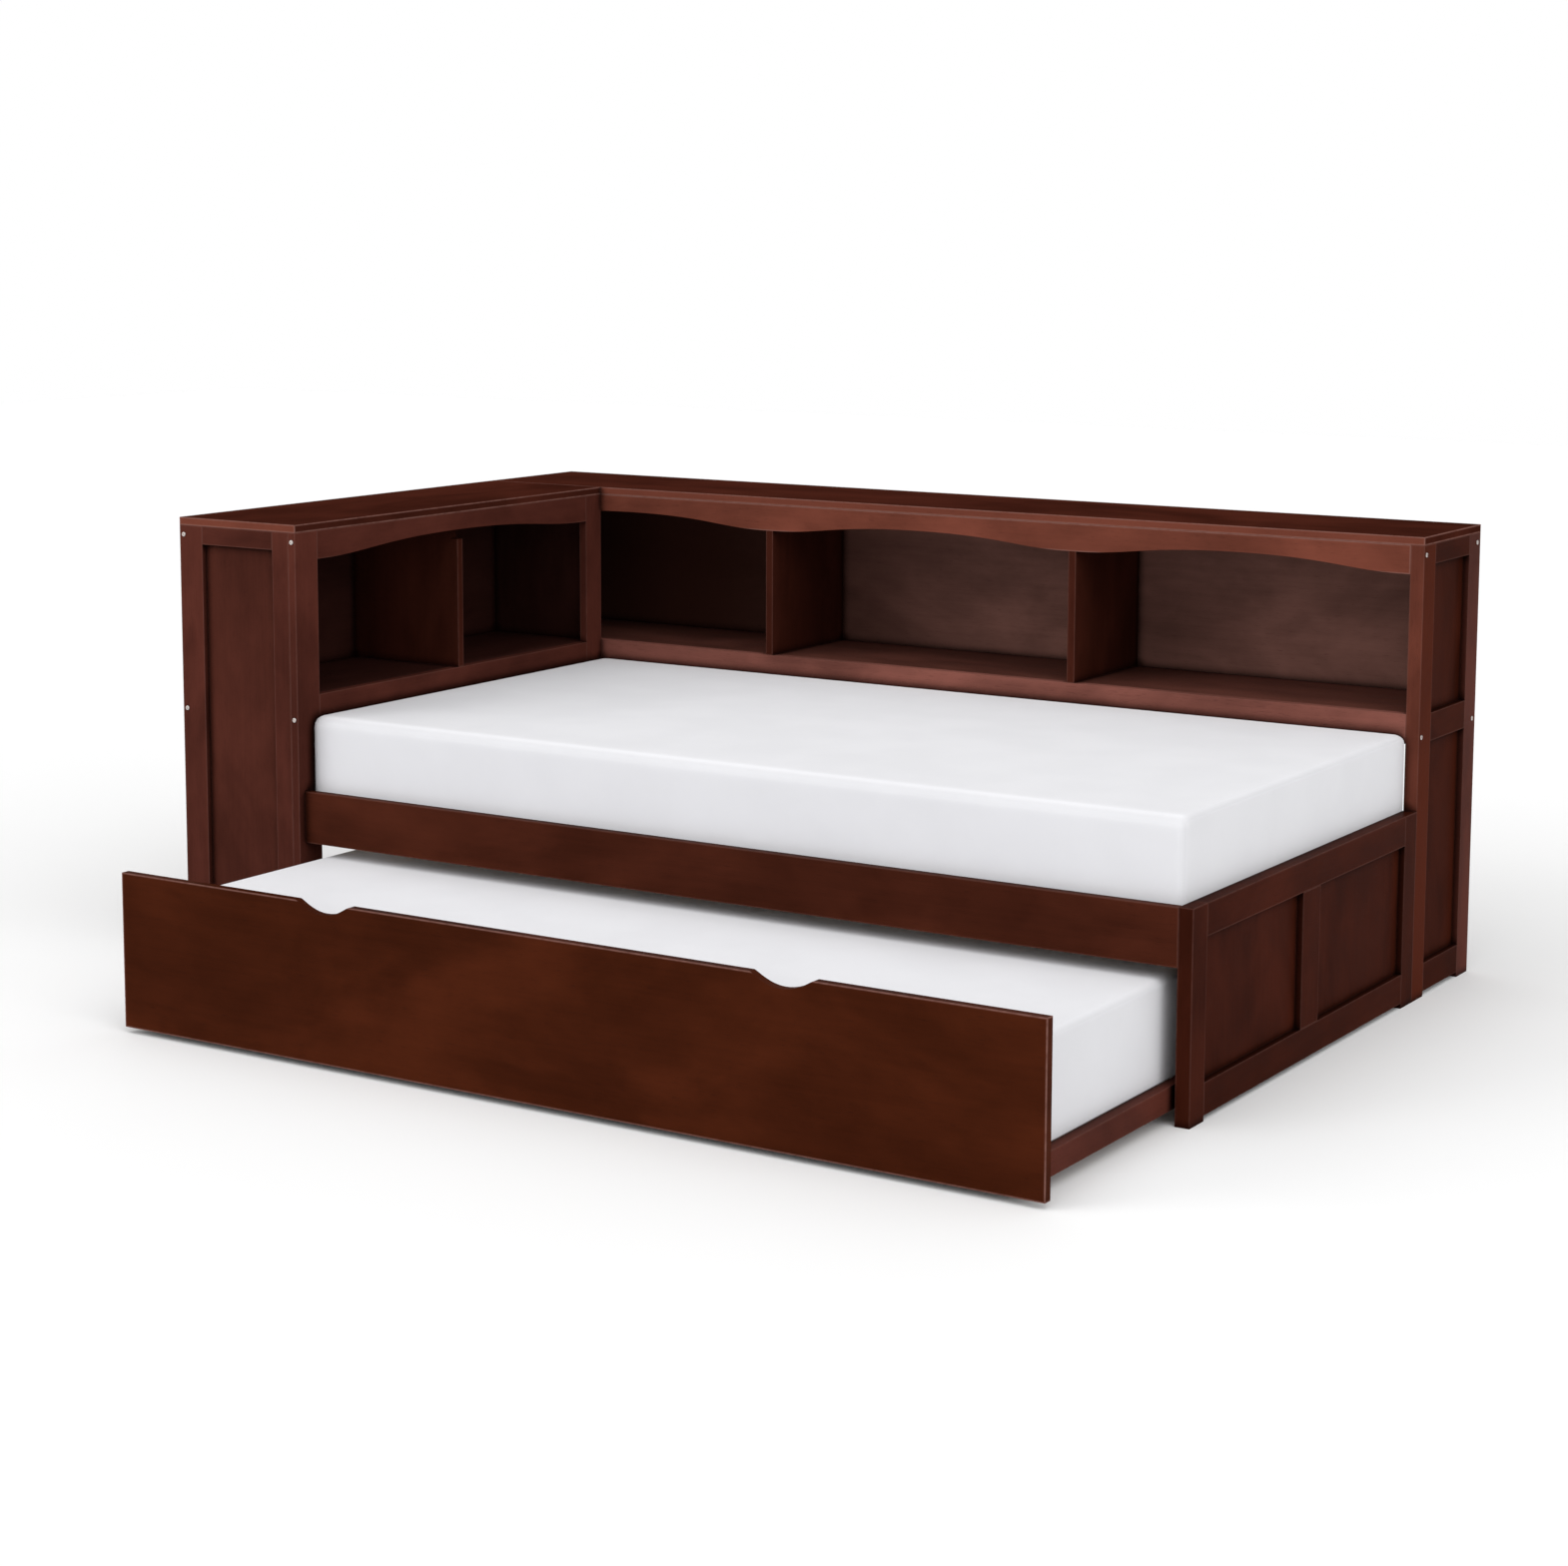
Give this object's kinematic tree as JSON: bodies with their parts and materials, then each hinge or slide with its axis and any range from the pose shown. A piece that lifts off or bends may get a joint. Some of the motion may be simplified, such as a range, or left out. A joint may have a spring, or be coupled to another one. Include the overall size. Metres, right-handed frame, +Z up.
{
  "type": "trundle bed",
  "caption": "Twin bed set in an L of two open bookcases, with a panelled footboard and a second bed that rolls out from under it on casters.",
  "frame": {"origin": "middle of the base on the floor, measured on the box that holds the bed with its trundle half out", "axes": "+X towards the footboard, +Y towards the wall behind the back bookcase, +Z up"},
  "size_m": [2.2538, 1.8402, 0.9158],
  "materials": {
    "cherry_frame": "satin",
    "cherry_panel": "satin",
    "cherry_front": "satin",
    "cherry_backing": "satin",
    "pine_slat": "matte",
    "ticking": "matte",
    "zinc_steel": "satin",
    "wheel_plastic": "matte"
  },
  "bodies": {
    "bed": {"back_top_board": "cherry_frame", "back_valance": "cherry_frame", "back_lower_rail": "cherry_frame", "back_shelf": "cherry_frame", "back_left_divider": "cherry_frame", "back_right_divider": "cherry_frame", "back_panel": "cherry_backing", "left_end_front_post": "cherry_frame", "left_end_rear_post": "cherry_frame", "left_end_top_rail": "cherry_frame", "left_end_middle_rail": "cherry_frame", "left_end_bottom_rail": "cherry_frame", "left_end_upper_panel": "cherry_panel", "left_end_lower_panel": "cherry_panel", "right_end_front_post": "cherry_frame", "right_end_rear_post": "cherry_frame", "right_end_top_rail": "cherry_frame", "right_end_middle_rail": "cherry_frame", "right_end_bottom_rail": "cherry_frame", "right_end_upper_panel": "cherry_panel", "right_end_lower_panel": "cherry_panel", "side_top_board": "cherry_frame", "side_front_stile": "cherry_frame", "side_rear_stile": "cherry_frame", "side_valance": "cherry_frame", "side_lower_rail": "cherry_frame", "side_shelf": "cherry_frame", "side_divider": "cherry_frame", "side_outer_post": "cherry_frame", "side_inner_post": "cherry_frame", "side_front_top_rail": "cherry_frame", "side_front_bottom_rail": "cherry_frame", "side_rear_end": "cherry_frame", "side_outer_panel": "cherry_backing", "side_front_panel": "cherry_panel", "footboard_front_post": "cherry_frame", "footboard_rear_post": "cherry_frame", "footboard_top_rail": "cherry_frame", "footboard_bottom_rail": "cherry_frame", "footboard_middle_stile": "cherry_frame", "footboard_front_panel": "cherry_panel", "footboard_rear_panel": "cherry_panel", "front_rail": "cherry_frame", "rear_rail": "cherry_frame", "bed_slats": "pine_slat", "mattress": "ticking"},
    "trundle": {"trundle_front": "cherry_front", "trundle_left_rail": "cherry_frame", "trundle_right_rail": "cherry_frame", "trundle_rear_rail": "cherry_frame", "trundle_slats": "pine_slat", "trundle_mattress": "ticking", "front_left_wheel_bracket": "zinc_steel", "front_right_wheel_bracket": "zinc_steel", "rear_left_wheel_bracket": "zinc_steel", "rear_right_wheel_bracket": "zinc_steel"},
    "front_left_wheel": {"front_left_wheel": "wheel_plastic"},
    "front_right_wheel": {"front_right_wheel": "wheel_plastic"},
    "rear_left_wheel": {"rear_left_wheel": "wheel_plastic"},
    "rear_right_wheel": {"rear_right_wheel": "wheel_plastic"}
  },
  "joints": [
    {"name": "trundle_slide", "type": "slide", "parent": "bed", "child": "trundle", "axis": [0, -1, 0], "range_m": [-0.5, 0.48]},
    {"name": "front_left_wheel_roll", "type": "hinge", "parent": "trundle", "child": "front_left_wheel", "pos_m": [-0.7752, -0.81175, 0.025], "axis": [1, 0, 0], "continuous": true},
    {"name": "front_right_wheel_roll", "type": "hinge", "parent": "trundle", "child": "front_right_wheel", "pos_m": [1.0532, -0.81175, 0.025], "axis": [1, 0, 0], "continuous": true},
    {"name": "rear_left_wheel_roll", "type": "hinge", "parent": "trundle", "child": "rear_left_wheel", "pos_m": [-0.7752, -0.04175, 0.025], "axis": [1, 0, 0], "continuous": true},
    {"name": "rear_right_wheel_roll", "type": "hinge", "parent": "trundle", "child": "rear_right_wheel", "pos_m": [1.0532, -0.04175, 0.025], "axis": [1, 0, 0], "continuous": true}
  ],
  "couplings": [
    {"joint": "front_left_wheel_roll", "follows": "trundle_slide", "rad_per_m": 40},
    {"joint": "front_right_wheel_roll", "follows": "trundle_slide", "rad_per_m": 40},
    {"joint": "rear_left_wheel_roll", "follows": "trundle_slide", "rad_per_m": 40},
    {"joint": "rear_right_wheel_roll", "follows": "trundle_slide", "rad_per_m": 40}
  ]
}
